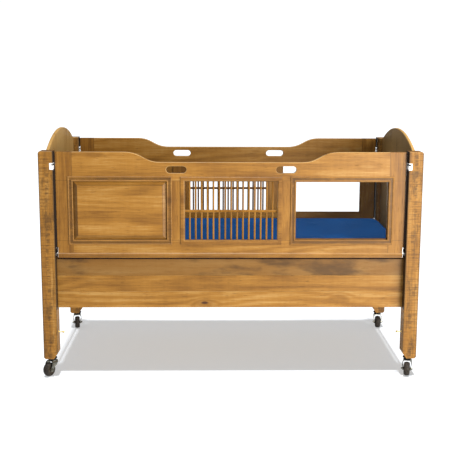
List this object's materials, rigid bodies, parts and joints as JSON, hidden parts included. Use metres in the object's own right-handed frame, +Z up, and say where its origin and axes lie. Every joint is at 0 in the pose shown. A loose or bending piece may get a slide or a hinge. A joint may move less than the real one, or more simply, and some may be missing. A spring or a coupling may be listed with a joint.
{
  "type": "adjustable care bed",
  "caption": "Wooden care bed on casters with arched ends, two fold-down side gates with spindle grille and clear window, and a jointed powered mattress deck.",
  "frame": {"origin": "on the floor under the middle of the bed", "axes": "+X along the bed from head to foot, -Y towards the front gate, +Z up"},
  "size_m": [2.1554, 1.1264, 1.3979],
  "materials": {
    "post_oak": "rough-sawn stained hardwood, satin",
    "gate_oak": "stained hardwood, satin lacquer",
    "board_oak": "stained hardwood planks, satin",
    "panel_oak": "stained veneered panel, satin lacquer",
    "antique_moulding": "dark glazed moulding",
    "spindle_oak": "turned hardwood, satin",
    "birch_ply": "sanded plywood",
    "clear_pane": "clear acrylic sheet",
    "mattress_vinyl": "coated stretch fabric, matt",
    "white_plastic": "white moulded",
    "bright_steel": "zinc plated",
    "dark_steel": "blackened",
    "brass": "polished",
    "frame_paint": "black powder coat",
    "drive_plastic": "moulded grey",
    "black_plastic": "moulded black",
    "caster_tyre": "soft black tread",
    "caster_hub": "moulded grey nylon"
  },
  "bodies": {
    "frame": {"post_front_left": "post_oak", "post_front_right": "post_oak", "post_rear_left": "post_oak", "post_rear_right": "post_oak", "head_panel": "panel_oak", "foot_panel": "panel_oak", "front_side_board": "board_oak", "rear_side_board": "board_oak", "latch_keepers": "white_plastic", "pivot_plates": "bright_steel", "rest_pegs": "brass", "deck_frame": "frame_paint", "seat_deck": "birch_ply", "deck_hinge_pins": "bright_steel", "mattress_seat": "mattress_vinyl", "lift_motors": "drive_plastic", "caster_cups": "black_plastic"},
    "front_gate": {"front_gate_rails": "gate_oak", "front_gate_stiles": "gate_oak", "front_gate_raised_panel": "panel_oak", "front_gate_mouldings": "antique_moulding", "front_gate_grille": "spindle_oak", "front_gate_pane": "clear_pane", "front_gate_pivots": "bright_steel", "front_latch_barrels": "dark_steel"},
    "rear_gate": {"rear_gate_rails": "gate_oak", "rear_gate_stiles": "gate_oak", "rear_gate_raised_panel": "panel_oak", "rear_gate_mouldings": "antique_moulding", "rear_gate_grille": "spindle_oak", "rear_gate_pane": "clear_pane", "rear_gate_pivots": "bright_steel", "rear_latch_barrels": "dark_steel"},
    "latch_front_left": {"latch_bolt_front_left": "dark_steel"},
    "latch_front_right": {"latch_bolt_front_right": "dark_steel"},
    "latch_rear_left": {"latch_bolt_rear_left": "dark_steel"},
    "latch_rear_right": {"latch_bolt_rear_right": "dark_steel"},
    "caster_front_left": {"caster_fork_front_left": "bright_steel"},
    "wheel_front_left": {"caster_wheel_front_left": "caster_hub", "caster_tyre_front_left": "caster_tyre"},
    "caster_front_right": {"caster_fork_front_right": "bright_steel"},
    "wheel_front_right": {"caster_wheel_front_right": "caster_hub", "caster_tyre_front_right": "caster_tyre"},
    "caster_rear_left": {"caster_fork_rear_left": "bright_steel"},
    "wheel_rear_left": {"caster_wheel_rear_left": "caster_hub", "caster_tyre_rear_left": "caster_tyre"},
    "caster_rear_right": {"caster_fork_rear_right": "bright_steel"},
    "wheel_rear_right": {"caster_wheel_rear_right": "caster_hub", "caster_tyre_rear_right": "caster_tyre"},
    "back_section": {"back_deck": "birch_ply", "back_lever": "frame_paint", "mattress_back": "mattress_vinyl"},
    "thigh_section": {"thigh_deck": "birch_ply", "leg_lever": "frame_paint", "mattress_thigh": "mattress_vinyl"},
    "calf_section": {"calf_deck": "birch_ply", "knee_hinge_pins": "bright_steel", "mattress_calf": "mattress_vinyl"},
    "back_rod": {"back_push_rod": "bright_steel"},
    "leg_rod": {"leg_push_rod": "bright_steel"}
  },
  "joints": [
    {"name": "front_gate_fold", "type": "hinge", "parent": "frame", "child": "front_gate", "pos_m": [0, -0.5133, 0.7186], "axis": [1, 0, 0], "range_deg": [0, 176]},
    {"name": "rear_gate_fold", "type": "hinge", "parent": "frame", "child": "rear_gate", "pos_m": [0, 0.5133, 0.7186], "axis": [-1, 0, 0], "range_deg": [0, 176]},
    {"name": "latch_pull_front_left", "type": "slide", "parent": "front_gate", "child": "latch_front_left", "axis": [1, 0, 0], "range_m": [0, 0.02], "stiffness_N_per_m": 400, "springref_m": -0.01},
    {"name": "latch_pull_front_right", "type": "slide", "parent": "front_gate", "child": "latch_front_right", "axis": [-1, 0, 0], "range_m": [0, 0.02], "stiffness_N_per_m": 400, "springref_m": -0.01},
    {"name": "latch_pull_rear_left", "type": "slide", "parent": "rear_gate", "child": "latch_rear_left", "axis": [1, 0, 0], "range_m": [0, 0.02], "stiffness_N_per_m": 400, "springref_m": -0.01},
    {"name": "latch_pull_rear_right", "type": "slide", "parent": "rear_gate", "child": "latch_rear_right", "axis": [-1, 0, 0], "range_m": [0, 0.02], "stiffness_N_per_m": 400, "springref_m": -0.01},
    {"name": "caster_swivel_front_left", "type": "hinge", "parent": "frame", "child": "caster_front_left", "pos_m": [-1.034, -0.508, 0.088], "axis": [0, 0, 1], "continuous": true},
    {"name": "wheel_spin_front_left", "type": "hinge", "parent": "caster_front_left", "child": "wheel_front_left", "pos_m": [-1.049, -0.53398, 0.04], "axis": [-0.866, 0.5, 0], "continuous": true},
    {"name": "caster_swivel_front_right", "type": "hinge", "parent": "frame", "child": "caster_front_right", "pos_m": [1.034, -0.508, 0.088], "axis": [0, 0, 1], "continuous": true},
    {"name": "wheel_spin_front_right", "type": "hinge", "parent": "caster_front_right", "child": "wheel_front_right", "pos_m": [1.02573, -0.53684, 0.04], "axis": [-0.9613, 0.2756, 0], "continuous": true},
    {"name": "caster_swivel_rear_left", "type": "hinge", "parent": "frame", "child": "caster_rear_left", "pos_m": [-1.034, 0.508, 0.088], "axis": [0, 0, 1], "continuous": true},
    {"name": "wheel_spin_rear_left", "type": "hinge", "parent": "caster_rear_left", "child": "wheel_rear_left", "pos_m": [-1.02982, 0.47829, 0.04], "axis": [-0.9903, -0.1392, 0], "continuous": true},
    {"name": "caster_swivel_rear_right", "type": "hinge", "parent": "frame", "child": "caster_rear_right", "pos_m": [1.034, 0.508, 0.088], "axis": [0, 0, 1], "continuous": true},
    {"name": "wheel_spin_rear_right", "type": "hinge", "parent": "caster_rear_right", "child": "wheel_rear_right", "pos_m": [1.03191, 0.47807, 0.04], "axis": [-0.9976, 0.0698, 0], "continuous": true},
    {"name": "back_raise", "type": "hinge", "parent": "frame", "child": "back_section", "pos_m": [-0.231, 0, 0.603], "axis": [0, 1, 0], "range_deg": [0, 55]},
    {"name": "thigh_raise", "type": "hinge", "parent": "frame", "child": "thigh_section", "pos_m": [-0.023, 0, 0.603], "axis": [0, -1, 0], "range_deg": [0, 25]},
    {"name": "knee_bend", "type": "hinge", "parent": "thigh_section", "child": "calf_section", "pos_m": [0.331, 0, 0.603], "axis": [0, -1, 0], "range_deg": [-38, 0]},
    {"name": "back_rod_push", "type": "slide", "parent": "frame", "child": "back_rod", "axis": [-1, 0, 0], "range_m": [0, 0.1022]},
    {"name": "leg_rod_push", "type": "slide", "parent": "frame", "child": "leg_rod", "axis": [1, 0, 0], "range_m": [0, 0.0482]}
  ],
  "couplings": [
    {"joint": "knee_bend", "follows": "thigh_raise", "ratio": -1.5},
    {"joint": "back_rod_push", "follows": "back_raise", "m_per_rad": 0.10582},
    {"joint": "leg_rod_push", "follows": "thigh_raise", "m_per_rad": 0.10913}
  ]
}
